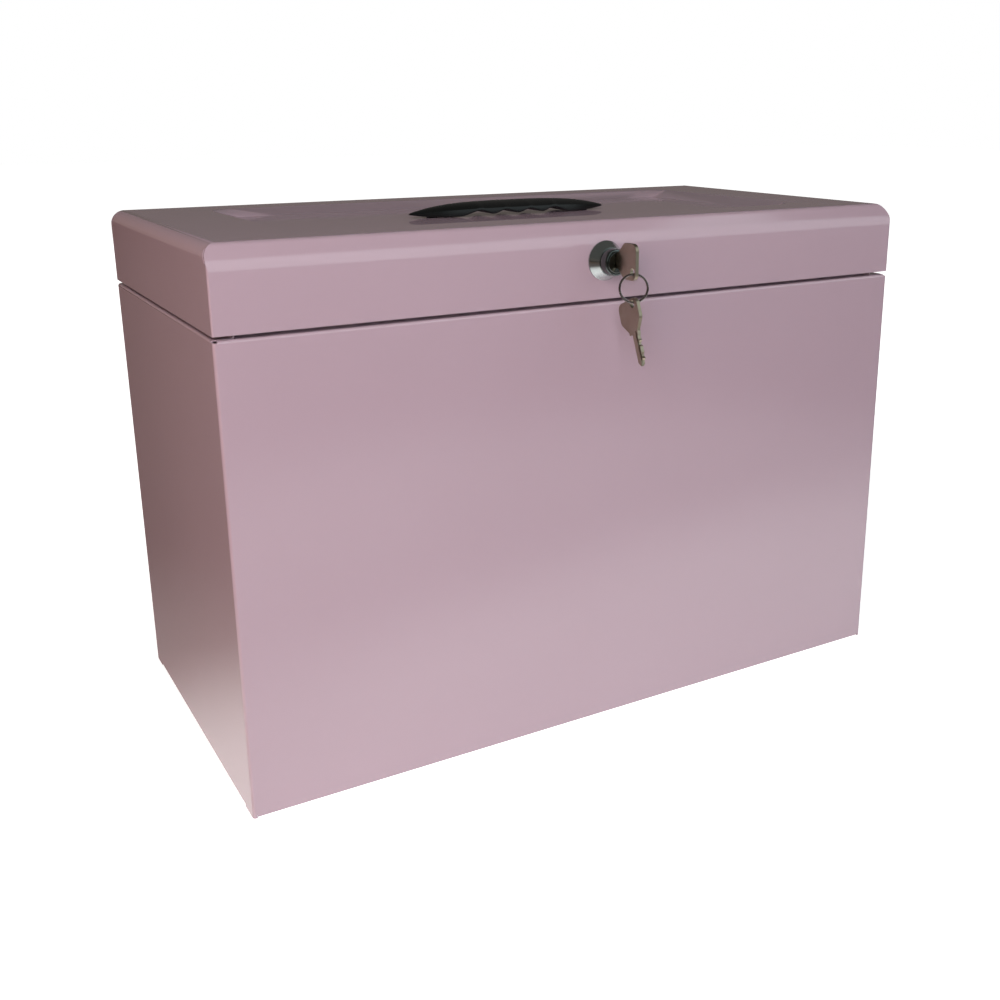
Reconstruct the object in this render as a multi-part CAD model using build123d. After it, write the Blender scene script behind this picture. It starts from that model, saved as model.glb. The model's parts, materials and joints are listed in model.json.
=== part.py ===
from build123d import *
import os
from math import atan2, cos, pi, radians, tan

# Lockable sheet-steel box for hanging files: folded case, hinged lid, drop handle, cam lock, keys.
# Millimetres. X to the right, Y to the rear, Z up. Origin: centre of the underside.

# Case and lid
box_width = 410.0
box_depth = 208.0
case_height = 240.8        # top of the case's shelves, where the lid meets the case
lid_height = 42.2          # from the shelves to the lid's top
lid_gap = 1.9              # under the lid's edge, all round
sheet = 0.8
bend = 1.5                 # outer radius of the case's bends
corner_bend = 1.6          # outer radius of the case's upright bends
bevel_run = 7.1            # sloping band between the lid's top and its front and rear, seen from above
bevel_drop = 8.8           # the same band's height
bevel_low_bend = 9.0       # outer radius of the bend under the band
bevel_top_bend = 4.0       # outer radius of the bend over it
lid_side_bend = 7.0        # outer radius of the lid's top bends at the sides
lid_corner = 1.0           # rounding of the lid's upright seams
least_corner = 0.05        # the same on the inside, where it would be none
weld_gap = 0.3             # between neighbouring flanges and panels

# Case flanges, shelves and hanging rails
flange = 12.0              # bottom flanges and rear returns
front_shelf = 9.0
side_start = 4.0           # the side shelves begin this far behind the front
front_upstand = 9.0
side_shelf = 10.0          # the two rails stand this far in from the sides
rail_height = 9.0
shelf_bend = 0.8           # inner radius where a shelf turns up
corner_relief = 2.2        # plain sheet beside each upright bend
relief_slit = 0.5
relief_drop = 1.0          # a relieved corner lies this far under the shelves
foot_relief = 13.0         # plain bottom edge behind the front corner
foot_notch = 5.0
rib_depth = 0.8            # bottom panel's pressed centre, down to the floor

# Sunk panel in the lid
panel_side = 47.0          # from the lid's sides to the panel
panel_front = 32.0         # from the lid's front and rear to the panel
panel_depth = 3.9
panel_corner = 12.0
panel_taper = 74.0         # degrees from upright, slope of the border
corner_slit = 1.3          # open seam between a bend and the side flap, at the lid's corners
slit_from = 8.5            # where that seam starts and ends, under the lid's top
slit_to = 2.2

# Piano hinge
hinge_inset = 20.0         # from the sides to the hinge's ends
hinge_knuckles = 15
leaf = 0.8
leaf_height = 15.0
pin_radius = 1.0
pin_clearance = 0.05
knuckle_gap = 0.3
knuckle_clearance = 0.15
rivet_count = 6
rivet_radius = 1.5
rivet_head = 3.0
rivet_dome = 0.8
rivet_round = 0.6
rivet_upset = 2.7          # radius of the inner end
rivet_clearance = 0.05
rivet_drop = 9.0           # rivets' distance from the hinge's axis
rivet_inset = 20.0         # first rivet from the hinge's end

# Drop handle
grip_length = 128.0
grip_width = 24.0
grip_height = 7.75
grip_tip_width = 3.0
grip_tip_height = 2.4
grip_crown = 3.3           # higher keeps the height further towards the tips
grip_tip_rise = 1.5        # the underside lifts by this much at the tips
grip_tip_bend = 8.0        # higher keeps that lift nearer to the tips
grip_fullness = 2.6        # higher keeps the width further towards the tips
grip_side = 0.42           # upright part of the side, as a share of the local height
grip_gap = 0.35            # under the grip at rest
wave_rise = 0.9            # underside's lowest part between the fingers
wave_depth = 2.0
wave_pitch = 16.0
wave_count = 4
wave_run = 12.8            # from the last hollow's top down to the grip's foot
stem_spacing = 100.0
stem_radius = 3.2
stem_clearance = 0.35
stem_root = 1.5            # into the grip
handle_lift = 18.0
stop_washer_radius = 7.5
stop_washer = 1.2
stop_screw_radius = 1.4
stop_screw_length = 8.0
stop_head_radius = 3.2
stop_head = 1.8
stop_head_round = 1.1
slot_width = 0.8           # crossed slots of this screw and the lock's
slot_length = 3.4

# Cam lock
lock_height = 22.0         # lock's axis above the case's shelves
collar_radius = 10.4
collar_height = 6.0
collar_rim = 0.6           # upright edge of the collar, on the lid
collar_step = 0.4          # ledge round the nose
nose_radius = 6.9
nose_height = 11.3
nose_round = 0.5
barrel_radius = 6.9
barrel_length = 16.0       # behind the lid's outer face
barrel_clearance = 0.1
plug_radius = 5.5
plug_clearance = 0.05
plug_proud = 0.3
plug_round = 0.5
tail_radius = 3.9
barrel_floor = 2.0
tail_square = 5.0
square_clearance = 0.05
nut_height = 3.0
keyway_width = 2.3
keyway_height = 5.8
wafer_count = 4
wafer = 1.0
wafer_pitch = 3.0
wafer_width = 6.0
wafer_height = 9.0
wafer_clearance = 0.1
wafer_start = 4.0          # from the plug's face to the first wafer

# Hook on the plug's tail, and the keeper that it catches
cam = 2.0
cam_clearance = 0.2        # behind the barrel
cam_hub = 7.0
cam_reach = 19.0
cam_width = 7.0
toe_width = 4.0
toe_reach = 11.0
cam_washer_radius = 4.5
cam_washer_height = 0.8
cam_screw_radius = 1.5
cam_screw_length = 6.0
cam_head_radius = 2.9
cam_head = 1.8
cam_head_round = 1.1
keeper = 1.0
keeper_length = 11.5
keeper_clearance = 0.6
keeper_reach = 2.5         # past the hook's rear face

# Keys and ring
key = 1.9
bow_length = 16.0
bow_width = 18.4
bow_offset = 1.8           # bow's middle beside the blade's
bow_neck = 8.0             # bow's width where it meets the neck
bow_corner = 3.6
bow_shoulder = 10.5        # from the bow's end to where it narrows
neck_length = 1.6
blade_length = 17.0
blade_height = 5.2
blade_point = 2.1
blade_cuts = [0.8, 1.6, 0.5, 1.2, 1.8]
cut_pitch = 3.1
cut_flat = 1.1
cut_peak = 0.3             # the ridges between the cuts are this much lower than the blade
groove_depth = 0.45
groove_width = 1.1
groove_run = 1.0           # into the neck
groove_places = [0.2, -1.1]    # one on each face, off the blade's middle
hole_radius = 2.0
hole_offset = 3.0          # hole's centre on the blade's other side
hole_inset = 2.9           # hole's centre from the bow's end
key_gap = 0.3              # between the neck and the plug's face
ring_radius = 7.1
wire_radius = 0.6
ring_yaw = -30.0           # degrees, turned towards the left
spare_yaw = -2.0
spare_lean = -24.0         # degrees, towards the front
hang_gap = 0.3             # between the wire and the edge of the key's hole
spare_gap = 0.7            # the same on the spare key, which stands askew on the wire

# Worked out from the above
half_w = box_width / 2
half_d = box_depth / 2
box_height = case_height + lid_height
lid_edge = case_height + lid_gap
lock_z = case_height + lock_height
panel_length = box_width - 2 * panel_side
panel_width = box_depth - 2 * panel_front
hinge_length = box_width - 2 * hinge_inset
rear_y = half_d - sheet                    # inner face of the rear sheets
hinge_y = rear_y
hinge_z = case_height
knuckle_radius = pin_radius + pin_clearance + leaf
leaf_edge = knuckle_radius + knuckle_clearance
shelf_y = -half_d + front_shelf            # front face of the front upstand
rail_x = half_w - side_shelf               # outer face of each hanging rail
panel_z = box_height - panel_depth
lock_face = -half_d - nose_height          # front of the barrel's nose
plug_face = lock_face - plug_proud
barrel_end = -half_d + barrel_length
bevel_turn = pi / 2 - atan2(bevel_drop, bevel_run)     # the lid's front bends this far to the band
front_top = box_height - bevel_drop - bevel_low_bend * tan(bevel_turn / 2)
nut_flats = 2 * (front_top - lock_z)                   # up to where the lid's front begins to bend
cam_y = barrel_end + cam_clearance
bow_front = plug_face - key_gap - neck_length - bow_length
hole_y = bow_front + hole_inset
XZ_front = Plane(origin=(0, 0, 0), x_dir=(1, 0, 0), z_dir=(0, -1, 0))


def span(x0, x1, y0, y1, z0, z1):
    """Block between two corners."""
    centre = ((x0 + x1) / 2, (y0 + y1) / 2, (z0 + z1) / 2)
    return Pos(*centre) * Box(abs(x1 - x0), abs(y1 - y0), abs(z1 - z0))


def bent(plane, points, radii, length):
    """Sheet folded along a line, its thickness on the line's left, from the plane along its normal."""
    line = FilletPolyline(*points, radius=radii)
    section = make_face(line.offset_2d(sheet, side=Side.LEFT, closed=True))
    return extrude(plane * section, length)


def both_sides(shape):
    """Shape and its mirror image across the middle."""
    return shape + mirror(shape, about=Plane.YZ)


def rod(start, radius, length, direction):
    """Round bar from a point."""
    return extrude(Plane(origin=start, z_dir=direction) * Circle(radius), length)


def along_lock(radius, y0, y1):
    """Round bar on the lock's axis."""
    return rod((0, y0, lock_z), radius, y1 - y0, (0, 1, 0))


def rivet_places():
    step = (hinge_length - 2 * rivet_inset) / (rivet_count - 1)
    return [-hinge_length / 2 + rivet_inset + i * step for i in range(rivet_count)]


# Case

def front_sheet():
    """Front wall with its shelf, upstand and bottom flange, without the upright corners."""
    reach = half_w - corner_relief
    points = [(shelf_y, case_height + front_upstand), (shelf_y, case_height), (-half_d, case_height),
              (-half_d, 0), (-half_d + flange, 0)]
    plane = Plane.YZ.offset(-reach)
    wall = bent(plane, points, [shelf_bend, bend, bend], 2 * reach)
    clear_x = half_w - flange - weld_gap
    corner = span(clear_x, half_w, -half_d + bend, -half_d + flange + 1, -1, bend + sheet)
    slit = span(reach - relief_slit, reach + 1, -half_d - 1, -half_d + flange, -1, bend)
    beside_rail = span(rail_x - sheet - weld_gap, half_w, -half_d + bend, 0, case_height / 2,
                       case_height + front_upstand + 1)
    return wall - both_sides(corner) - both_sides(slit) - both_sides(beside_rail)


def side_sheet():
    """Left wall with its shelf and rail; the bottom flange stops short of both corners."""
    front = -half_d + side_start
    rear = rear_y - leaf - weld_gap
    rim = [(-rail_x, case_height + rail_height), (-rail_x, case_height), (-half_w, case_height),
           (-half_w, bend)]
    wall = bent(XZ_front.offset(-rear), rim, [shelf_bend, bend], rear - front)
    foot_front = -half_d + foot_relief + foot_notch
    foot_rear = half_d - foot_relief - foot_notch
    foot = [(-half_w, 2 * bend), (-half_w, 0), (-half_w + flange, 0)]
    wall += bent(XZ_front.offset(-foot_rear), foot, bend, foot_rear - foot_front)
    wall += span(-half_w, -half_w + sheet, front, -half_d + foot_relief, 0, bend)
    wall += span(-half_w, -half_w + sheet, half_d - foot_relief, rear, 0, bend)
    return wall


def upright_corners():
    """Left front bend and left rear return, down to the floor and up to the relieved edge."""
    plan = [(-half_w + flange, rear_y), (-half_w, rear_y), (-half_w, -half_d), (0, -half_d)]
    top = case_height - relief_drop
    wall = bent(Plane.XY, plan, [bend, corner_bend], top)
    front = -half_d + side_start
    rear = rear_y - leaf - weld_gap
    wall -= span(-half_w - 1, 0, front, rear, -1, top + 1)
    wall -= span(-half_w + corner_relief, 1, -half_d - 1, front + 1, -1, top + 1)
    return wall - span(-half_w + sheet + weld_gap, 0, rear, half_d, -1, bend + sheet)


def body_wrap():
    return front_sheet() + both_sides(side_sheet() + upright_corners())


def rivet_holes(direction):
    holes = Part()
    for x in rivet_places():
        start = (x, rear_y - 2 * leaf, hinge_z + direction * rivet_drop)
        holes += rod(start, rivet_radius + rivet_clearance, 4 * leaf, (0, 1, 0))
    return holes


def back_panel():
    """Rear sheet, laid over the returns, with a bottom flange between the side flanges."""
    reach = half_w - sheet - weld_gap
    top = case_height - relief_drop
    points = [(half_d - flange, 0), (half_d, 0), (half_d, top)]
    wall = bent(Plane.YZ.offset(-reach), points, bend, 2 * reach)
    clear_x = half_w - flange - weld_gap
    corner = span(clear_x, half_w, half_d - flange - 1, rear_y - bend / 2, -1, bend + sheet)
    wall -= both_sides(corner)
    reach_x = hinge_length / 2 + weld_gap
    wall -= span(-reach_x, reach_x, rear_y - 1, half_d + 1, hinge_z - leaf_edge, case_height)
    return wall - rivet_holes(-1)


def bottom_panel():
    """Pan on the flanges, its centre pressed down between them to the floor."""
    rim_x = half_w - sheet - bend
    rim_y = half_d - sheet - bend
    well_x = half_w - flange - 2 * weld_gap
    well_y = half_d - flange - 2 * weld_gap
    pan = span(-rim_x, rim_x, -rim_y, rim_y, sheet, 2 * sheet)
    pan += span(-well_x, well_x, -well_y, well_y, sheet - rib_depth, 2 * sheet)
    inner_x = well_x - sheet
    inner_y = well_y - sheet
    return pan - span(-inner_x, inner_x, -inner_y, inner_y, 2 * sheet - rib_depth, 3 * sheet)


def lock_keeper():
    """Angle on the back of the front upstand; the hook turns in under its ledge."""
    back = shelf_y + sheet
    right = -cam_width / 2 - 1
    left = right - keeper_length
    under = lock_z - cam_reach + toe_width + keeper_clearance
    ledge = span(left, right, back, cam_y + cam + keeper_reach, under, under + keeper)
    plate = span(left, right, back, back + keeper, case_height + weld_gap, under + keeper)
    return ledge + plate


# Hinge

def hinge_half(direction, first):
    """Leaf on the inner face of a rear sheet, with every other knuckle. Direction -1 is the case's."""
    step = hinge_length / hinge_knuckles
    start = -hinge_length / 2
    edge = hinge_z + direction * leaf_edge
    far = hinge_z + direction * leaf_height
    half = span(start, -start, hinge_y - leaf, hinge_y, edge, far)
    for i in range(first, hinge_knuckles, 2):
        x0 = start + i * step + knuckle_gap / 2
        x1 = x0 + step - knuckle_gap
        half += span(x0, x1, hinge_y - leaf, hinge_y, hinge_z, edge)
        half += rod((x0, hinge_y, hinge_z), knuckle_radius, x1 - x0, (1, 0, 0))
    bore = pin_radius + pin_clearance
    half -= rod((start - 1, hinge_y, hinge_z), bore, hinge_length + 2, (1, 0, 0))
    return half - rivet_holes(direction)


def hinge_rivets(direction):
    rivets = Part()
    for x in rivet_places():
        z = hinge_z + direction * rivet_drop
        rivets += rod((x, hinge_y - leaf - rivet_dome, z), rivet_radius, leaf + sheet + rivet_dome,
                      (0, 1, 0))
        rivets += rod((x, hinge_y - leaf - rivet_dome, z), rivet_upset, rivet_dome, (0, 1, 0))
        dome = rod((x, half_d, z), rivet_head, rivet_dome, (0, 1, 0))
        rivets += fillet(dome.edges().group_by(Axis.Y)[-1], rivet_round)
    return rivets


# Lid

def lid_arch(plane, outline, radii, reach):
    """Lid's outline seen along one axis, carried through the whole lid."""
    arch = FilletPolyline(*outline, radius=radii)
    return extrude(plane * make_face(arch + Line(outline[-1], outline[0])), reach, both=True)


def side_arch(inset):
    """Outline across the lid, drawn in: round bends at both sides."""
    half = half_w - inset
    top = box_height - inset
    outline = [(-half, lid_edge), (-half, top), (half, top), (half, lid_edge)]
    return lid_arch(XZ_front, outline, lid_side_bend - inset, box_depth)


def front_arch(inset):
    """Outline from front to rear, drawn in: a sloping band at both ends."""
    half = half_d - inset
    top = box_height - inset
    low = box_height - bevel_drop - inset * tan(bevel_turn / 2)
    run = half_d - bevel_run - inset * tan((pi / 2 - bevel_turn) / 2)
    outline = [(-half, lid_edge), (-half, low), (-run, top), (run, top), (half, low), (half, lid_edge)]
    radii = [bevel_low_bend - inset, bevel_top_bend - inset, bevel_top_bend - inset, bevel_low_bend - inset]
    return lid_arch(Plane.YZ, outline, radii, box_width)


def lid_block(inset):
    """Solid of the lid's outer shape, drawn in on every side but the open one."""
    corner = max(lid_corner - inset, least_corner)
    plan = RectangleRounded(2 * (half_w - inset), 2 * (half_d - inset), corner)
    block = extrude(Pos(0, 0, lid_edge) * plan, lid_height)
    return block & side_arch(inset) & front_arch(inset)


def panel_solid(grow, drop):
    """Tapered solid of the sunk panel: its hollow, or the sheet around it."""
    outline = RectangleRounded(panel_length + 2 * grow, panel_width + 2 * grow, panel_corner + grow)
    return extrude(Pos(0, 0, box_height) * outline, -(panel_depth + drop), taper=panel_taper)


def lid_shell():
    shell = lid_block(0) - lid_block(sheet)
    grow = sheet / cos(radians(panel_taper))           # keeps the sheet equally thick on the slope
    shell += panel_solid(grow, sheet) - panel_solid(0, 0)
    shell -= panel_solid(0, 0)
    for x in (-stem_spacing / 2, stem_spacing / 2):
        shell -= rod((x, 0, panel_z - 2 * sheet), stem_radius + stem_clearance, 4 * sheet, (0, 0, 1))
    shell -= along_lock(barrel_radius + barrel_clearance, -half_d - 1, -half_d + 2)
    reach_x = hinge_length / 2 + weld_gap
    shell -= span(-reach_x, reach_x, rear_y - 1, half_d + 1, case_height, hinge_z + leaf_edge)
    shell -= rivet_holes(1)
    seam = front_arch(sheet) - front_arch(sheet + corner_slit)
    low = box_height - slit_from
    high = box_height - slit_to
    side = span(half_w - 2 * sheet - slit_to, half_w + 1, -half_d, half_d, low, high)
    return shell - both_sides(seam & side)


# Handle

def grip_section(x, half_width, lift, height):
    """Flat bottom, upright sides and a crowned top."""
    base = panel_z + grip_gap + lift
    side = base + grip_side * height
    lines = Line((-half_width, base), (half_width, base))
    lines += Line((half_width, base), (half_width, side))
    lines += ThreePointArc((half_width, side), (0, base + height), (-half_width, side))
    lines += Line((-half_width, side), (-half_width, base))
    return Plane.YZ.offset(x) * make_face(lines)


def finger_waves():
    """Space under the grip for the fingers, its top one smooth wave."""
    base = panel_z + grip_gap
    first = -(wave_count - 1) * wave_pitch / 2
    half = wave_run - first
    points = [(-half, base)]
    for i in range(2 * wave_count - 1):
        points.append((first + i * wave_pitch / 2, base + wave_rise + (1 - i % 2) * wave_depth))
    points.append((half, base))
    wave = Spline(*points, tangents=[(1, 0), (1, 0)])
    floor = Polyline(points[-1], (half, base - 1), (-half, base - 1), points[0])
    return extrude(XZ_front * make_face(wave + floor), grip_width, both=True)


def handle_grip():
    stations = 8
    sections = []
    for i in range(-stations, stations + 1):
        t = i / stations
        swell = 1 - abs(t) ** grip_fullness
        half_width = (grip_tip_width + (grip_width - grip_tip_width) * swell) / 2
        rise = 1 - abs(t) ** grip_crown
        height = grip_tip_height + (grip_height - grip_tip_height) * rise
        lift = grip_tip_rise * abs(t) ** grip_tip_bend
        sections.append(grip_section(t * grip_length / 2, half_width, lift, height - lift))
    grip = loft(sections) - finger_waves()
    foot = stem_foot()
    for x in (-stem_spacing / 2, stem_spacing / 2):
        grip += rod((x, 0, foot), stem_radius, panel_z + stem_root - foot, (0, 0, 1))
        grip -= rod((x, 0, foot), stop_screw_radius, stop_screw_length, (0, 0, 1))
    return grip


def stem_foot():
    """Underside of the stems: the washers meet the lid when the handle is up."""
    return panel_z - sheet - handle_lift


def handle_stop_washers():
    washers = Part()
    for x in (-stem_spacing / 2, stem_spacing / 2):
        ring = Circle(stop_washer_radius) - Circle(stop_screw_radius)
        washers += extrude(Pos(x, 0, stem_foot() - stop_washer) * ring, stop_washer)
    return washers


def handle_stop_screws():
    screws = Part()
    low = stem_foot() - stop_washer
    for x in (-stem_spacing / 2, stem_spacing / 2):
        screw = rod((x, 0, low), stop_screw_radius, stop_washer + stop_screw_length, (0, 0, 1))
        head = rod((x, 0, low - stop_head), stop_head_radius, stop_head, (0, 0, 1))
        head = fillet(head.edges().group_by(Axis.Z)[0], stop_head_round)
        for turn in (0, 90):
            head -= Pos(x, 0, low - stop_head) * Rot(0, 0, turn) * Box(slot_width, slot_length, stop_head)
        screws += screw + head
    return screws


# Lock

def lock_barrel():
    """Conical collar and nose outside the lid, round body through it."""
    collar_top = -half_d - collar_height
    profile = Polyline((0, lock_face), (nose_radius - nose_round, lock_face),
                       (nose_radius, lock_face + nose_round), (nose_radius, collar_top),
                       (nose_radius + collar_step, collar_top), (collar_radius, -half_d - collar_rim),
                       (collar_radius, -half_d), (barrel_radius, -half_d), (barrel_radius, barrel_end),
                       (0, barrel_end), (0, lock_face))
    body = revolve(Plane.XY * make_face(profile), Axis.Y)
    body = Pos(0, 0, lock_z) * body
    body -= along_lock(plug_radius + plug_clearance, lock_face - 1, barrel_end - barrel_floor)
    return body - along_lock(tail_radius + plug_clearance, lock_face, barrel_end + 1)


def lock_nut():
    outer = RegularPolygon(nut_flats / 2, 6, major_radius=False)
    ring = outer - Circle(barrel_radius + barrel_clearance)
    plane = Plane(origin=(0, rear_of_front(), lock_z), x_dir=(1, 0, 0), z_dir=(0, 1, 0))
    return extrude(plane * ring, nut_height)


def rear_of_front():
    """Inner face of the lid's front wall."""
    return -half_d + sheet


def wafer_place(i):
    return plug_face + wafer_start + i * wafer_pitch


def lock_plug():
    """Turning cylinder: keyway, wafer slots and a square tail."""
    shoulder = barrel_end - barrel_floor - plug_clearance
    plug = along_lock(plug_radius, plug_face, shoulder)
    plug = fillet(plug.edges().group_by(Axis.Y)[0], plug_round)
    plug += along_lock(tail_radius, shoulder, cam_y)
    half = tail_square / 2
    plug += span(-half, half, cam_y, cam_y + cam, lock_z - half, lock_z + half)
    way = keyway_width / 2
    tall = keyway_height / 2
    plug -= span(-way, way, plug_face - 1, shoulder - 1, lock_z - tall, lock_z + tall)
    wide = wafer_width / 2 + wafer_clearance
    high = wafer_height / 2 + wafer_clearance
    for i in range(wafer_count):
        y = wafer_place(i)
        plug -= span(-wide, wide, y, y + wafer + 2 * wafer_clearance, lock_z - high, lock_z + high)
    return plug - along_lock(cam_screw_radius, cam_y + cam - cam_screw_length, cam_y + cam + 1)


def lock_wafers():
    wafers = Part()
    wide = wafer_width / 2
    high = wafer_height / 2
    way = keyway_width / 2 + wafer_clearance
    tall = keyway_height / 2 + wafer_clearance
    for i in range(wafer_count):
        y = wafer_place(i) + wafer_clearance
        plate = span(-wide, wide, y, y + wafer, lock_z - high, lock_z + high)
        wafers += plate - span(-way, way, y - 1, y + wafer + 1, lock_z - tall, lock_z + tall)
    return wafers


def lock_cam():
    """Hook, unlocked: its arm to the right, its toe down."""
    arm = Pos(cam_reach / 2, 0) * Rectangle(cam_reach, cam_width)
    toe_height = toe_reach + cam_width / 2
    toe = Pos(cam_reach - toe_width / 2, cam_width / 2 - toe_height / 2) * Rectangle(toe_width, toe_height)
    outline = Circle(cam_hub) + arm + toe
    outline = outline - Rectangle(tail_square + 2 * square_clearance, tail_square + 2 * square_clearance)
    plane = Plane(origin=(0, cam_y + cam, lock_z), x_dir=(1, 0, 0), z_dir=(0, -1, 0))
    return extrude(plane * outline, cam)


def cam_washer():
    rear = cam_y + cam
    washer = along_lock(cam_washer_radius, rear, rear + cam_washer_height)
    return washer - along_lock(cam_screw_radius, rear - 1, rear + 2)


def cam_screw():
    rear = cam_y + cam
    seat = rear + cam_washer_height
    screw = along_lock(cam_screw_radius, rear - cam_screw_length, seat)
    head = along_lock(cam_head_radius, seat, seat + cam_head)
    head = fillet(head.edges().group_by(Axis.Y)[-1], cam_head_round)
    for turn in (0, 90):
        head -= Pos(0, seat + cam_head, lock_z) * Rot(0, turn, 0) * Box(slot_width, cam_head, slot_length)
    return screw + head


# Keys and ring

def key_blank():
    """Flat key in the XY plane: bow's end at X 0, blade's middle on the X axis, cuts on the -Y edge."""
    low = -blade_height / 2
    high = blade_height / 2
    near = bow_offset - bow_width / 2
    far = bow_offset + bow_width / 2
    corners = [(bow_length, low + bow_neck), (bow_shoulder, far), (0, far), (0, near), (bow_shoulder, near),
               (bow_length, low)]
    bow = FilletPolyline(*corners, radius=bow_corner)
    face = make_face(bow + Line(corners[-1], corners[0]))
    face += Pos(bow_length + neck_length / 2, low + bow_neck / 2) * Rectangle(neck_length, bow_neck)
    start = bow_length + neck_length
    tip = start + blade_length
    edge = [(start, high), (tip - blade_point, high), (tip, high - blade_point), (tip, 0)]
    x = tip - blade_point
    for cut in reversed(blade_cuts):
        edge += [(x + cut_flat / 2, low + cut), (x - cut_flat / 2, low + cut)]
        x -= cut_pitch
        edge.append((x + cut_pitch / 2, low + cut_peak))
    edge += [(x, low), (start, low), (start, high)]
    face += make_face(Polyline(*edge))
    face -= Pos(hole_inset, -hole_offset) * Circle(hole_radius)
    blank = extrude(face, key / 2, both=True)
    for side, place in zip((1, -1), groove_places):
        floor = side * (key / 2 - groove_depth)
        blank -= span(start - groove_run, tip + 1, place - groove_width / 2, place + groove_width / 2,
                      floor, side * key)
    return blank


def lock_key():
    plane = Plane(origin=(0, bow_front, lock_z), x_dir=(0, 1, 0), z_dir=(1, 0, 0))
    return plane * key_blank()


def ring_top():
    """Middle of the wire where it lies in the key's hole."""
    return lock_z - hole_offset - hole_radius + wire_radius + hang_gap


def key_ring():
    circle = Pos(ring_radius, 0) * Circle(wire_radius)
    ring = revolve(Plane.XZ * circle, Axis.Z)
    return Pos(0, hole_y, ring_top() - ring_radius) * Rot(0, 0, ring_yaw) * Rot(90, 0, 0) * ring


def spare_key():
    """Hangs on the bottom of the ring by its hole, leaning forwards in its own plane."""
    wire_z = ring_top() - 2 * ring_radius
    drop = hole_radius - wire_radius - spare_gap
    hang = Pos(hole_inset - drop, -hole_offset, 0)
    plane = Plane(origin=(0, 0, 0), x_dir=(0, 0, -1), z_dir=(1, 0, 0))
    return Pos(0, hole_y, wire_z) * Rot(0, 0, spare_yaw) * Rot(spare_lean, 0, 0) * (
        plane * (hang.inverse() * key_blank()))


parts = {
    "body_wrap": body_wrap,
    "back_panel": back_panel,
    "bottom_panel": bottom_panel,
    "lock_keeper": lock_keeper,
    "hinge_leaf_body": lambda: hinge_half(-1, 0),
    "hinge_rivets_body": lambda: hinge_rivets(-1),
    "hinge_pin": lambda: rod((-hinge_length / 2, hinge_y, hinge_z), pin_radius, hinge_length, (1, 0, 0)),
    "lid_shell": lid_shell,
    "hinge_leaf_lid": lambda: hinge_half(1, 1),
    "hinge_rivets_lid": lambda: hinge_rivets(1),
    "lock_barrel": lock_barrel,
    "lock_nut": lock_nut,
    "handle_grip": handle_grip,
    "handle_stop_washers": handle_stop_washers,
    "handle_stop_screws": handle_stop_screws,
    "lock_plug": lock_plug,
    "lock_wafers": lock_wafers,
    "lock_cam": lock_cam,
    "cam_washer": cam_washer,
    "cam_screw": cam_screw,
    "lock_key": lock_key,
    "key_ring": key_ring,
    "spare_key": spare_key,
}

os.makedirs("parts", exist_ok=True)
for name, make in parts.items():
    export_step(make(), f"parts/{name}.step")
    print("wrote", name)
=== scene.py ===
import bpy
import bmesh
import json
from math import cos, pi, radians, sin
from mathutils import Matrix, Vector


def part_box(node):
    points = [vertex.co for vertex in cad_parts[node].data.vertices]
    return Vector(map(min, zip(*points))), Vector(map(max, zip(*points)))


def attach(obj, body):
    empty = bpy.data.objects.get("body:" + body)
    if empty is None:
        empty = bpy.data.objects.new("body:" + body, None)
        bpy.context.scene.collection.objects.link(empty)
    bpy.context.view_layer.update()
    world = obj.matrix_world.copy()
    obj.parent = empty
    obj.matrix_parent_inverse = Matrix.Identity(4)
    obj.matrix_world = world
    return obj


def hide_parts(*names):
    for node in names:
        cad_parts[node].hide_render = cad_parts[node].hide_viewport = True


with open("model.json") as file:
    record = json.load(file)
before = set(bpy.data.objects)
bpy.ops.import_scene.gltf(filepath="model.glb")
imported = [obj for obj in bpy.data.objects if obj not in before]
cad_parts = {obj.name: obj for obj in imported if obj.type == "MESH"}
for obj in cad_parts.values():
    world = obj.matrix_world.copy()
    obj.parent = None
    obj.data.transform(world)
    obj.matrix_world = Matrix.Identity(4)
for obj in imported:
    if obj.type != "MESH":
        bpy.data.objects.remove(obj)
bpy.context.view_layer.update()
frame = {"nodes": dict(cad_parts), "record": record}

mm = 0.001
mergeGap = 0.002 * mm     # points nearer to each other than this are one
flatAngle = 0.5           # degrees; flatter folds of a copied mesh are dissolved
easeAngle = 50.0          # degrees; sharper edges are eased
flatWeight = 100          # highest, so that a bend takes its normals from the flat faces beside it
noiseSpan = (0.3, 0.7)    # nearly all values of a noise lie between these


# Small helpers

def deselectAll():
    if bpy.context.object and bpy.context.object.mode != "OBJECT":
        bpy.ops.object.mode_set(mode="OBJECT")
    bpy.ops.object.select_all(action="DESELECT")


def pick(obj):
    deselectAll()
    obj.select_set(True)
    bpy.context.view_layer.objects.active = obj
    return obj


def newPiece(name):
    obj = bpy.context.object
    obj.name = name
    obj.data.name = name
    return obj


def bakePlace(obj):
    pick(obj)
    bpy.ops.object.transform_apply(location=True, rotation=True, scale=True)


def editOn(obj, kind="VERT"):
    pick(obj)
    bpy.ops.object.mode_set(mode="EDIT")
    bpy.ops.mesh.select_mode(type=kind)
    bpy.ops.mesh.select_all(action="DESELECT")
    return bmesh.from_edit_mesh(obj.data)


def editOff():
    bpy.ops.object.mode_set(mode="OBJECT")


def addModifier(obj, kind, **values):
    pick(obj)
    modifier = obj.modifiers.new(kind.title(), kind)
    for key, value in values.items():
        setattr(modifier, key, value)
    bpy.ops.object.modifier_apply(modifier=modifier.name)


def smooth(obj, angle):
    pick(obj)
    bpy.ops.object.shade_smooth_by_angle(angle=radians(angle))


def easeEdges(obj, width):
    addModifier(obj, "BEVEL", width=width, segments=2, limit_method="ANGLE",
                angle_limit=radians(easeAngle))


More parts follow.
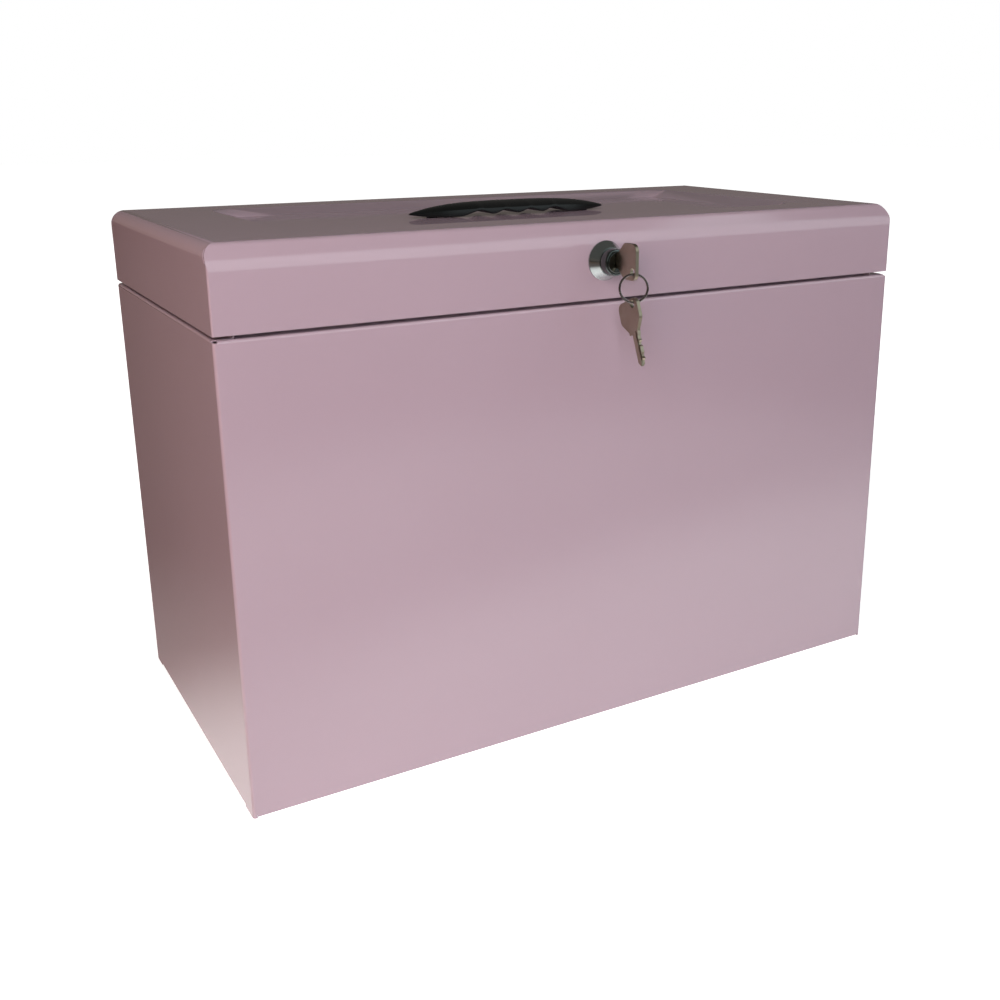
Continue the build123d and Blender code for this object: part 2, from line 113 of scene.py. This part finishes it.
# Flat faces keep their own normals, and only the bends between them are shaded round
def shadeSheet(obj, angle):
    smooth(obj, angle)
    addModifier(obj, "WEIGHTED_NORMAL", keep_sharp=True, weight=flatWeight)


def bodyOf(node):
    bodies = frame["record"]["behaviour"]["bodies"]
    return next(b for b, members in bodies.items() if node in members)


# A merged copy of a model node, to be finished with modifiers
def copyNode(node, name):
    source = frame["nodes"][node]
    obj = bpy.data.objects.new(name, source.data.copy())
    obj.data.name = name
    bpy.context.scene.collection.objects.link(obj)
    editOn(obj)
    bpy.ops.mesh.select_all(action="SELECT")
    bpy.ops.mesh.remove_doubles(threshold=mergeGap)
    bpy.ops.mesh.select_all(action="SELECT")
    bpy.ops.mesh.dissolve_limited(angle_limit=radians(flatAngle))
    editOff()
    return obj


def wear(obj, material):
    obj.data.materials.clear()
    obj.data.materials.append(material)


# A grid wrapped round into a tube: placeAt gives the point for u along it and v around it,
# both 0 to 1. The two ends are filled, unless they are closed on each other.
def wrapGrid(name, along, around, placeAt, closed=False):
    deselectAll()
    bpy.ops.mesh.primitive_grid_add(x_subdivisions=along, y_subdivisions=around, size=1,
                                    location=(0, 0, 0))
    obj = newPiece(name)
    mesh = editOn(obj)
    for vert in mesh.verts:
        vert.co = placeAt(vert.co.x + 0.5, vert.co.y + 0.5)
    bmesh.update_edit_mesh(obj.data)
    bpy.ops.mesh.select_all(action="SELECT")
    bpy.ops.mesh.remove_doubles(threshold=mergeGap)
    if not closed:
        bpy.ops.mesh.select_all(action="DESELECT")
        bpy.ops.mesh.select_non_manifold()
        bpy.ops.mesh.fill_holes(sides=0)
    bpy.ops.mesh.select_all(action="SELECT")
    bpy.ops.mesh.normals_make_consistent(inside=False)
    editOff()
    return obj


# A piece turned round an axis along Y; its profile of (radius, y) ends where it starts
def turnedPiece(name, profile, centreX, centreZ, around=96):
    last = len(profile) - 1

    def placeAt(u, v):
        radius, y = profile[round(u * last)]
        angle = 2 * pi * v
        return Vector((centreX + radius * cos(angle), y, centreZ + radius * sin(angle)))

    return wrapGrid(name, last, around, placeAt, closed=True)


# Points of a quarter turn in a profile, from a direction in degrees on
def roundCorner(radius, y, bend, start, steps=4):
    turns = [radians(start + 90 * i / steps) for i in range(steps + 1)]
    return [(radius + bend * cos(a), y + bend * sin(a)) for a in turns]


def place(obj, body, material, slotName, *nodes):
    wear(obj, material)
    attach(obj, body)
    if nodes:
        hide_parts(*nodes)


# Materials

def newMaterial(name):
    material = bpy.data.materials.new(name)
    material.use_nodes = True
    nodes = material.node_tree.nodes
    nodes.clear()
    out = nodes.new("ShaderNodeOutputMaterial")
    shader = nodes.new("ShaderNodeBsdfPrincipled")
    material.node_tree.links.new(shader.outputs["BSDF"], out.inputs["Surface"])
    return material, nodes, material.node_tree.links, shader


# Noise on the piece's own metres, stretched if asked
def noiseOn(nodes, links, scale, detail, stretch=(1, 1, 1)):
    coords = nodes.new("ShaderNodeTexCoord")
    mapping = nodes.new("ShaderNodeMapping")
    mapping.inputs["Scale"].default_value = stretch
    noise = nodes.new("ShaderNodeTexNoise")
    noise.inputs["Scale"].default_value = scale
    noise.inputs["Detail"].default_value = detail
    links.new(coords.outputs["Object"], mapping.inputs["Vector"])
    links.new(mapping.outputs["Vector"], noise.inputs["Vector"])
    return noise.outputs["Fac"]


# Colour from low to high while the source goes over the span
def rampOn(nodes, links, source, low, high, span=noiseSpan):
    ramp = nodes.new("ShaderNodeValToRGB")
    for stop, where, color in zip(ramp.color_ramp.elements, span, (low, high)):
        stop.position = where
        stop.color = (*color, 1)
    links.new(source, ramp.inputs["Fac"])
    return ramp.outputs["Color"]


def rangeOn(nodes, links, source, low, high):
    span = nodes.new("ShaderNodeMapRange")
    span.inputs["From Min"].default_value, span.inputs["From Max"].default_value = noiseSpan
    span.inputs["To Min"].default_value = low
    span.inputs["To Max"].default_value = high
    links.new(source, span.inputs["Value"])
    return span.outputs["Result"]


def bumpOn(nodes, links, height, distance, under=None):
    bump = nodes.new("ShaderNodeBump")
    bump.inputs["Distance"].default_value = distance
    links.new(height, bump.inputs["Height"])
    if under:
        links.new(under, bump.inputs["Normal"])
    return bump.outputs["Normal"]


# One step of arithmetic; each value is a number or comes from another node
def mathOn(nodes, links, operation, *values):
    result = nodes.new("ShaderNodeMath")
    result.operation = operation
    for socket, value in zip(result.inputs, values):
        if isinstance(value, (int, float)):
            socket.default_value = value
        else:
            links.new(value, socket)
    return result.outputs[0]


# Lengths are in metres, and a scale is in waves per metre
paintValues = {
    "light": (0.500, 0.372, 0.438),
    "deep": (0.486, 0.360, 0.424),
    "toneScale": 7.0,
    "roughness": (0.07, 0.10),
    "roughScale": 30.0,
    "specular": 1.0,
    "peelScale": 420.0,
    "peelHeight": 0.000003,
    "waveScale": 7.0,
    "waveHeight": 0.00012,
}


def paintedSteel():
    v = paintValues
    material, nodes, links, shader = newMaterial("pinkPaint")
    tone = rampOn(nodes, links, noiseOn(nodes, links, v["toneScale"], 4.0), v["deep"], v["light"])
    links.new(tone, shader.inputs["Base Color"])
    uneven = noiseOn(nodes, links, v["roughScale"], 4.0)
    links.new(rangeOn(nodes, links, uneven, *v["roughness"]), shader.inputs["Roughness"])
    shader.inputs["Specular IOR Level"].default_value = v["specular"]
    wave = bumpOn(nodes, links, noiseOn(nodes, links, v["waveScale"], 1.0), v["waveHeight"])
    peel = noiseOn(nodes, links, v["peelScale"], 2.0)
    links.new(bumpOn(nodes, links, peel, v["peelHeight"], under=wave), shader.inputs["Normal"])
    return material


metalValues = {
    "chrome": {"low": (0.46, 0.51, 0.50), "high": (0.53, 0.58, 0.57),
               "rough": (0.14, 0.20), "scale": 90.0, "scratch": 0.000002},
    "zinc": {"low": (0.50, 0.51, 0.52), "high": (0.64, 0.65, 0.67),
             "rough": (0.28, 0.40), "scale": 160.0, "scratch": 0.000006},
    "lockBrass": {"low": (0.12, 0.135, 0.125), "high": (0.20, 0.22, 0.21),
                  "rough": (0.16, 0.24), "scale": 200.0, "scratch": 0.000002},
    "keyNickel": {"low": (0.34, 0.295, 0.215), "high": (0.42, 0.37, 0.28),
                  "rough": (0.28, 0.36), "scale": 90.0, "scratch": 0.000004},
    "ringSteel": {"low": (0.34, 0.31, 0.30), "high": (0.42, 0.39, 0.38),
                  "rough": (0.10, 0.16), "scale": 200.0, "scratch": 0.000002},
}
roughTimes = 3            # finer than the tone by this much
scratchTimes = 5
scratchStretch = (1, 0.15, 0.6)


def metal(name):
    v = metalValues[name]
    material, nodes, links, shader = newMaterial(name)
    shader.inputs["Metallic"].default_value = 1.0
    tone = rampOn(nodes, links, noiseOn(nodes, links, v["scale"], 4.0), v["low"], v["high"])
    links.new(tone, shader.inputs["Base Color"])
    uneven = noiseOn(nodes, links, roughTimes * v["scale"], 5.0)
    links.new(rangeOn(nodes, links, uneven, *v["rough"]), shader.inputs["Roughness"])
    scratch = noiseOn(nodes, links, scratchTimes * v["scale"], 2.0, stretch=scratchStretch)
    links.new(bumpOn(nodes, links, scratch, v["scratch"]), shader.inputs["Normal"])
    return material


plasticValues = {
    "low": (0.002, 0.003, 0.003),
    "high": (0.004, 0.005, 0.005),
    "toneScale": 60.0,
    "rough": (0.22, 0.28),
    "roughScale": 220.0,
    "specular": 0.35,
    "grainScale": 900.0,
    "grainHeight": 0.000001,
}


def blackPlastic():
    v = plasticValues
    material, nodes, links, shader = newMaterial("blackPlastic")
    tone = rampOn(nodes, links, noiseOn(nodes, links, v["toneScale"], 3.0), v["low"], v["high"])
    links.new(tone, shader.inputs["Base Color"])
    uneven = noiseOn(nodes, links, v["roughScale"], 3.0)
    links.new(rangeOn(nodes, links, uneven, *v["rough"]), shader.inputs["Roughness"])
    shader.inputs["Specular IOR Level"].default_value = v["specular"]
    grain = bumpOn(nodes, links, noiseOn(nodes, links, v["grainScale"], 2.0), v["grainHeight"])
    links.new(grain, shader.inputs["Normal"])
    return material


pink = paintedSteel()
chrome = metal("chrome")
zinc = metal("zinc")
lockBrass = metal("lockBrass")
keyNickel = metal("keyNickel")
ringSteel = metal("ringSteel")
plastic = blackPlastic()

nodeFinish = {
    "painted_steel": pink,
    "zinc_steel": zinc,
    "chrome_plate": chrome,
    "lock_brass": lockBrass,
    "key_nickel": keyNickel,
    "ring_steel": ringSteel,
    "black_plastic": plastic,
}
for part in frame["record"]["subparts"]:
    wear(frame["nodes"][part["node"]], nodeFinish[part["material_slot"]])
print("materials made")


# Painted sheets: copies with their bends shaded round, up to an angle in degrees

sheetValues = {
    "body_wrap": ("caseWrap", 34.0),
    "back_panel": ("caseBack", 34.0),
    "bottom_panel": ("caseBottom", 34.0),
    "lid_shell": ("lidShell", 15.3),      # low enough to keep the sunk panel's creases
}


def paintedSheets():
    for node, (name, angle) in sheetValues.items():
        sheet = copyNode(node, name)
        shadeSheet(sheet, angle)
        place(sheet, bodyOf(node), pink, "painted_steel", node)


paintedSheets()
print("sheets dressed")


# Small parts kept from the model: copies with their edges eased, by so many millimetres

easedAngle = 40.0
easedValues = {
    "hinge_leaf_body": ("hingeLowerLeaf", 0.10),
    "hinge_leaf_lid": ("hingeUpperLeaf", 0.10),
    "hinge_pin": ("hingePin", 0.20),
    "hinge_rivets_body": ("lowerRivets", 0.0),
    "hinge_rivets_lid": ("upperRivets", 0.0),
    "lock_keeper": ("lockKeeper", 0.12),
    "lock_nut": ("lockNut", 0.25),
    "lock_plug": ("lockPlug", 0.12),
    "lock_cam": ("lockHook", 0.20),
    "cam_screw": ("hookScrew", 0.10),
    "cam_washer": ("hookWasher", 0.10),
    "handle_stop_washers": ("stopWashers", 0.15),
    "handle_stop_screws": ("stopScrews", 0.10),
    "lock_key": ("lockKey", 0.22),
    "spare_key": ("spareKey", 0.22),
}


def easedParts():
    slots = {part["node"]: part["material_slot"] for part in frame["record"]["subparts"]}
    for node, (name, width) in easedValues.items():
        part = copyNode(node, name)
        if width:
            easeEdges(part, width * mm)
        shadeSheet(part, easedAngle)
        place(part, bodyOf(node), nodeFinish[slots[node]], slots[node], node)


easedParts()
print("small parts eased")


# Handle: one moulded grip, its top crowned over a crease, its underside waved for the fingers

gripValues = {
    "length": 127.8 * mm,
    "width": 23.8 * mm,
    "height": 7.7 * mm,
    "tipWidth": 3.0 * mm,
    "tipHeight": 2.35 * mm,
    "tipRise": 1.5 * mm,          # the underside lifts by this much at the tips
    "tipBend": 8.0,               # higher keeps that lift nearer to the tips
    "tipClose": (0.55, 0.75),     # shares of the width and height left at the very end
    "fullness": 2.6,              # higher keeps the width further towards the tips
    "crown": 3.3,                 # higher keeps the height further towards the tips
    "crownPoints": (0.06, 0.2, 0.4, 0.65, 0.85),
    "side": 0.56,                 # height of the crease, as a share of the local height
    "sidePoint": 0.4,             # share of the way up the side where it has a point
    "lean": 0.5 * mm,             # the side leans in by this much from the foot to the crease
    "footRound": 0.7 * mm,
    "footShare": 0.3,             # that round takes no more of a thin section than this
    "creaseAbove": 2.4,           # the crease is at least this many foot rounds above the foot
    "creaseFrom": 3.0 * mm,       # where the section's half width is more than this
    "creaseRound": 0.12 * mm,
    "waveRise": 0.9 * mm,
    "waveDepth": 2.0 * mm,
    "wavePitch": 16.0 * mm,
    "waveHalf": 24.0 * mm,
    "waveRun": 12.8 * mm,
    "stemSpacing": 100.0 * mm,
    "stemRadius": 3.2 * mm,
    "stemRoot": 1.5 * mm,         # into the grip
    "stemEase": 0.3 * mm,
    "stations": 128,
    "smoothAngle": 32.0,
}


# How far the underside is hollowed at x, with waves for the fingers along the middle
def waveUnder(x):
    v = gripValues
    beyond = abs(x) - v["waveHalf"]
    if beyond <= 0:
        return v["waveRise"] + v["waveDepth"] * (1 + cos(2 * pi * beyond / v["wavePitch"])) / 2
    if beyond < v["waveRun"]:
        return (v["waveRise"] + v["waveDepth"]) * (1 + cos(pi * beyond / v["waveRun"])) / 2
    return 0.0


# Outline of the grip's section at x: a closed list of (across, up), starting under the middle
def gripOutline(x, half, height):
    v = gripValues
    foot = waveUnder(x)
    crease = v["side"] * height
    if half > v["creaseFrom"]:
        crease = max(crease, foot + v["creaseAbove"] * v["footRound"])
    bend = min(v["footRound"], v["footShare"] * half, v["footShare"] * height)
    share = min(1, half / v["width"])
    top = half - v["lean"] * share
    small = v["creaseRound"]
    point = v["sidePoint"]
    turns = [pi * i / 8 for i in range(5)]
    right = [(0, foot), (0.5 * half, foot)]
    right += [(half - bend + bend * sin(a), foot + bend - bend * cos(a)) for a in turns]
    right += [(half - point * (half - top), foot + bend + point * (crease - foot - bend)),
              (top + small * share, crease - small), (top, crease)]
    right += [(top * (1 - t), crease + (height - crease) * (1 - (1 - t) ** 2))
              for t in v["crownPoints"]]
    left = [(-across, up) for across, up in reversed(right[1:])]
    return right + [(0, height)] + left + [right[0]]


def carryingHandle():
    v = gripValues
    low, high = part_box("handle_grip")
    base = high.z - v["height"]
    steps = v["stations"]
    count = len(gripOutline(0, v["width"] / 2, v["height"])) - 1

    def placeAt(u, w):
        t = 2 * u - 1
        t = (sin(t * pi / 2) + t) / 2     # stations closer together near the tips
        half = (v["tipWidth"] + (v["width"] - v["tipWidth"]) * (1 - abs(t) ** v["fullness"])) / 2
        lift = v["tipRise"] * abs(t) ** v["tipBend"]
        height = v["tipHeight"] + (v["height"] - v["tipHeight"]) * (1 - abs(t) ** v["crown"]) - lift
        if u < 0.5 / steps or u > 1 - 0.5 / steps:
            half *= v["tipClose"][0]
            height *= v["tipClose"][1]
        x = t * v["length"] / 2
        across, up = gripOutline(x, half, height)[round(w * count)]
        return Vector((x, -across, base + lift + up))

    grip = wrapGrid("handleGrip", steps, count, placeAt)
    tall = base + v["stemRoot"] - low.z
    for side in (-1, 1):
        deselectAll()
        bpy.ops.mesh.primitive_cylinder_add(vertices=48, radius=v["stemRadius"], depth=tall,
                                            location=(side * v["stemSpacing"] / 2, 0, low.z + tall / 2))
        stem = newPiece("stem")
        bakePlace(stem)
        easeEdges(stem, v["stemEase"])
        deselectAll()
        stem.select_set(True)
        grip.select_set(True)
        bpy.context.view_layer.objects.active = grip
        bpy.ops.object.join()
    smooth(grip, v["smoothAngle"])
    place(grip, "handle", plastic, "black_plastic", "handle_grip")


carryingHandle()
print("handle made")


# Lock barrel: conical collar on the lid, round nose, body through the lid

barrelValues = {
    # painted shade: colour for the nose, darker than the collar, for the dark room it mirrors
    "noseShadeTone": (0.13, 0.15, 0.145),      # the nose in front of the collar is darker than the collar
    "noseRadius": 6.9 * mm,
    "noseRound": 1.0 * mm,
    "noseFillet": 0.15 * mm,
    # the painted shade on the nose ends this far in front of the collar
    "noseShadeGap": 0.05 * mm,                 # from that darker tone's end to the collar
    "boreRadius": 5.55 * mm,
    "boreEase": 0.25 * mm,
    "collarStep": 0.4 * mm,
    "collarHeight": 6.0 * mm,
    "collarRim": 0.6 * mm,
    "stepEase": (0.10 * mm, 0.12 * mm),
    "rimRound": 0.25 * mm,
    "rimPoints": ((1.2, -1.4), (0.3, -0.4), (0.0, 1.0)),      # in and back, counted in rim rounds
    "bodyRadius": 6.85 * mm,
    "floor": 2.0 * mm,
    "tailRadius": 3.95 * mm,
    "smoothAngle": 28.0,
}


# Painted shade: the chrome's colour is darkened in front of the edge, standing in for the dark room
# that the nose mirrors
def paintNoseShade(edge):
    nodes = chrome.node_tree.nodes
    links = chrome.node_tree.links
    colour = nodes["Principled BSDF"].inputs["Base Color"]
    split = nodes.new("ShaderNodeSeparateXYZ")
    links.new(nodes.new("ShaderNodeTexCoord").outputs["Object"], split.inputs[0])
    mix = nodes.new("ShaderNodeMixRGB")
    mix.inputs["Color2"].default_value = (*barrelValues["noseShadeTone"], 1)
    links.new(mathOn(nodes, links, "LESS_THAN", split.outputs["Y"], edge), mix.inputs["Fac"])
    links.new(colour.links[0].from_socket, mix.inputs["Color1"])
    links.new(mix.outputs[0], colour)


def lockBarrel():
    v = barrelValues
    low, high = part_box("lock_barrel")
    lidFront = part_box("lid_shell")[0].y
    collar = (high.x - low.x) / 2
    middle = (high.z + low.z) / 2
    front = low.y
    inner = high.y - v["floor"]
    nose = v["noseRadius"]
    step = nose + v["collarStep"]
    cone = lidFront - v["collarHeight"]
    rim = v["rimRound"]
    bore = v["boreRadius"]
    profile = [(v["tailRadius"], inner), (bore, inner)]
    profile += [(bore, front + v["boreEase"]), (bore + v["boreEase"], front)]
    profile += roundCorner(nose - v["noseRound"], front + v["noseRound"], v["noseRound"], -90)
    profile += [(nose, cone - v["noseFillet"]), (nose + v["noseFillet"], cone), (step, cone)]
    profile += [(step + v["stepEase"][0], cone + v["stepEase"][1])]
    profile += [(collar - a * rim, lidFront - v["collarRim"] + b * rim) for a, b in v["rimPoints"]]
    profile += [(collar, lidFront), (v["bodyRadius"], lidFront), (v["bodyRadius"], high.y)]
    profile += [(v["tailRadius"], high.y), (v["tailRadius"], inner)]
    barrel = turnedPiece("lockBarrel", profile, 0.0, middle)
    smooth(barrel, v["smoothAngle"])
    # painted shade on the nose, in front of the collar
    paintNoseShade(cone - v["noseShadeGap"])
    place(barrel, "lid", chrome, "chrome_plate", "lock_barrel")


lockBarrel()
print("lock barrel made")


# Split ring: two flat turns of wire, wound side by side

ringValues = {
    "yaw": -30.0,
    "turns": 2.0,
    "wound": 0.995,           # share of those turns, so that the ends stay apart
    "inset": 0.6 * mm,        # from the outside of the ring to the middle of its wire
    "radial": 0.58 * mm,
    "axial": 0.28 * mm,
    "flatness": 0.6,          # 1 is an oval wire, lower is flatter with rounder edges
    "endShare": 0.75,         # share of the wire's thickness at its two ends
    "spread": 0.30 * mm,      # each turn lies this far from the middle
    "crossing": 0.06,         # share of the length in which the wire steps over
    "tuck": 200.0,            # degrees, where the wire's ends lie
    "along": 240,
    "around": 12,
    "smoothAngle": 50.0,
}


def splitRing():
    v = ringValues
    low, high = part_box("key_ring")
    centre = (low + high) / 2
    radius = (high.z - low.z) / 2 - v["inset"]
    yaw = radians(v["yaw"])
    right = Vector((cos(yaw), sin(yaw), 0))
    front = Vector((sin(yaw), -cos(yaw), 0))
    up = Vector((0, 0, 1))

    # Fills the oval's corners, for a wire with two flat sides
    def swell(value):
        return abs(value) ** v["flatness"] * (1 if value > 0 else -1)

    def placeAt(u, w):
        turn = radians(v["tuck"]) + 2 * pi * v["turns"] * v["wound"] * u
        step = min(1, max(-1, (u - 0.5) / v["crossing"]))
        side = v["spread"] * sin(step * pi / 2)
        out = right * cos(turn) + up * sin(turn)
        thick = 1 if 0 < u < 1 else v["endShare"]
        radial = v["radial"] * thick * swell(cos(2 * pi * w))
        axial = v["axial"] * thick * swell(sin(2 * pi * w))
        return centre + out * (radius + radial) + front * (side + axial)

    ring = wrapGrid("splitRing", v["along"], v["around"], placeAt)
    smooth(ring, v["smoothAngle"])
    place(ring, "ring", ringSteel, "ring_steel", "key_ring")


splitRing()
print("ring made")


# Studio

studioValues = {
    "floorSize": 14.0,
    "paper": (0.80, 0.80, 0.80),
    # painted shade: away from the box the floor's colour goes from paper white to this grey, for the
    # light falling off
    "farShade": (0.16, 0.145, 0.14),
    "shadeCentre": (0.20, -0.18, 0.0),
    "shadeSpan": (0.37, 0.70),            # the floor's colour fades to that painted shade, and its glow rises, between these distances
    "floorGlow": (0.72, 1.0),             # what the camera sees added, near the box and far off
    # painted pool of light: near this place, reflections see the floor's white and glow
    "poolPlace": (0.05, -0.16, 0.0),      # bright part of the floor, as the paint mirrors it
    "poolTurn": -14.0,
    "poolReach": (0.52, 0.135, 1.0),
    "poolEdge": (0.4, 1.6),               # as shares of that reach
    "roomLow": (0.144, 0.121, 0.104),
    "roomHigh": (0.10, 0.095, 0.09),
    "roomSpan": (0.0, 0.25),
    "aim": (0.0, 0.0, 0.14),              # the lamps face this point
}

lampValues = {
    "keyLight": {"power": 7.8, "size": 0.7, "place": (-0.62, -1.02, 0.62),
                 "color": (0.93, 0.94, 1.0), "mirrored": False},
    "coolLight": {"power": 24.0, "size": 3.0, "place": (1.1, -2.1, 1.35),
                  "color": (0.84, 0.96, 1.0), "mirrored": True},
    "topLight": {"power": 1.4, "size": 1.2, "place": (0.0, -0.5, 1.7),
                 "color": (1.0, 0.93, 0.96), "mirrored": False},
    "leftLight": {"power": 11.5, "size": 1.2, "place": (-1.5, -0.8, 0.62),
                  "color": (1.0, 0.64, 0.44), "mirrored": False},
    "backLight": {"power": 11.0, "size": 2.0, "place": (0.8, 2.0, 1.1),
                  "color": (1.0, 0.96, 0.97), "mirrored": False},
}


# 1 for a ray of any of the named kinds
def anyRay(nodes, links, *names):
    path = nodes.new("ShaderNodeLightPath")
    total = path.outputs[names[0]]
    for name in names[1:]:
        total = mathOn(nodes, links, "MAXIMUM", total, path.outputs[name])
    return total


# 0 near a place on the floor and 1 far from it; reach stretches the shape
def farFrom(nodes, links, placeAt, turn, reach, edge):
    coords = nodes.new("ShaderNodeTexCoord")
    mapping = nodes.new("ShaderNodeMapping")
    mapping.vector_type = "TEXTURE"
    mapping.inputs["Location"].default_value = placeAt
    mapping.inputs["Rotation"].default_value = (0, 0, radians(turn))
    mapping.inputs["Scale"].default_value = reach
    length = nodes.new("ShaderNodeVectorMath")
    length.operation = "LENGTH"
    span = nodes.new("ShaderNodeMapRange")
    span.interpolation_type = "SMOOTHSTEP"
    span.inputs["From Min"].default_value, span.inputs["From Max"].default_value = edge
    links.new(coords.outputs["Object"], mapping.inputs["Vector"])
    links.new(mapping.outputs["Vector"], length.inputs[0])
    links.new(length.outputs["Value"], span.inputs["Value"])
    return span.outputs["Result"]


# White floor round the box, coloured darker away from it as painted shade that only reflections and
# bounce light see. The camera sees white all over, and the paint mirrors a painted pool of light.
def studioFloor():
    v = studioValues
    deselectAll()
    bpy.ops.mesh.primitive_plane_add(size=v["floorSize"], location=(0, 0, 0))
    floor = newPiece("studioFloor")
    material = bpy.data.materials.new("floorPaper")
    material.use_nodes = True
    nodes = material.node_tree.nodes
    links = material.node_tree.links
    nodes.clear()
    out = nodes.new("ShaderNodeOutputMaterial")
    far = farFrom(nodes, links, v["shadeCentre"], 0.0, (1, 1, 1), v["shadeSpan"])
    away = farFrom(nodes, links, v["poolPlace"], v["poolTurn"], v["poolReach"], v["poolEdge"])
    paper = nodes.new("ShaderNodeBsdfDiffuse")
    # painted shade: the floor's colour darkens away from the box
    links.new(rampOn(nodes, links, far, v["paper"], v["farShade"], (0.0, 1.0)), paper.inputs["Color"])
    white = nodes.new("ShaderNodeBsdfDiffuse")
    white.inputs["Color"].default_value = (*v["paper"], 1)
    near, horizon = v["floorGlow"]
    glow = nodes.new("ShaderNodeEmission")
    links.new(mathOn(nodes, links, "MULTIPLY_ADD", far, horizon - near, near), glow.inputs["Strength"])
    both = nodes.new("ShaderNodeAddShader")
    choice = nodes.new("ShaderNodeMixShader")
    links.new(white.outputs[0], both.inputs[0])
    links.new(glow.outputs[0], both.inputs[1])
    seen = anyRay(nodes, links, "Is Camera Ray", "Is Transmission Ray")
    # painted pool of light, seen only in reflections
    pool = mathOn(nodes, links, "SUBTRACT", 1.0, away)
    mirrored = mathOn(nodes, links, "MULTIPLY", anyRay(nodes, links, "Is Glossy Ray"), pool)
    links.new(mathOn(nodes, links, "MAXIMUM", seen, mirrored), choice.inputs["Fac"])
    links.new(paper.outputs[0], choice.inputs[1])
    links.new(both.outputs[0], choice.inputs[2])
    links.new(choice.outputs[0], out.inputs["Surface"])
    wear(floor, material)


# White for the camera; for everything else a dim room
def studioWorld():
    v = studioValues
    world = bpy.data.worlds.new("studioRoom")
    bpy.context.scene.world = world
    world.use_nodes = True
    nodes = world.node_tree.nodes
    links = world.node_tree.links
    nodes.clear()
    out = nodes.new("ShaderNodeOutputWorld")
    coords = nodes.new("ShaderNodeTexCoord")
    split = nodes.new("ShaderNodeSeparateXYZ")
    links.new(coords.outputs["Generated"], split.inputs[0])
    room = rampOn(nodes, links, split.outputs["Z"], v["roomLow"], v["roomHigh"], v["roomSpan"])
    dim = nodes.new("ShaderNodeBackground")
    links.new(room, dim.inputs["Color"])
    white = nodes.new("ShaderNodeBackground")
    white.inputs["Color"].default_value = (1, 1, 1, 1)
    choice = nodes.new("ShaderNodeMixShader")
    links.new(anyRay(nodes, links, "Is Camera Ray", "Is Transmission Ray"), choice.inputs["Fac"])
    links.new(dim.outputs[0], choice.inputs[1])
    links.new(white.outputs[0], choice.inputs[2])
    links.new(choice.outputs[0], out.inputs["Surface"])


def softLight(name):
    v = lampValues[name]
    deselectAll()
    bpy.ops.object.light_add(type="AREA", location=v["place"])
    lamp = bpy.context.object
    lamp.name = name
    lamp.data.energy = v["power"]
    lamp.data.size = v["size"]
    lamp.data.color = v["color"]
    lamp.visible_glossy = v["mirrored"]
    aim = Vector(studioValues["aim"]) - Vector(v["place"])
    lamp.rotation_euler = aim.to_track_quat("-Z", "Y").to_euler()


def studio():
    studioFloor()
    studioWorld()
    for name in lampValues:
        softLight(name)
    bpy.context.scene.view_settings.view_transform = "Standard"


cameraValues = {
    "place": (-0.33296, -0.61741, 0.34092),
    "turn": (73.693, 0.075, -30.875),
    "lens": 42.165,
    "sensor": 36.0,
    "shiftX": -0.0620,
    "shiftY": -0.0535,
}


def photoCamera():
    v = cameraValues
    deselectAll()
    bpy.ops.object.camera_add(location=v["place"], rotation=[radians(a) for a in v["turn"]])
    camera = bpy.context.object
    camera.name = "photoCamera"
    camera.data.sensor_width = v["sensor"]
    camera.data.lens = v["lens"]
    camera.data.shift_x = v["shiftX"]
    camera.data.shift_y = v["shiftY"]
    bpy.context.scene.camera = camera


studio()
photoCamera()
print("studio ready")
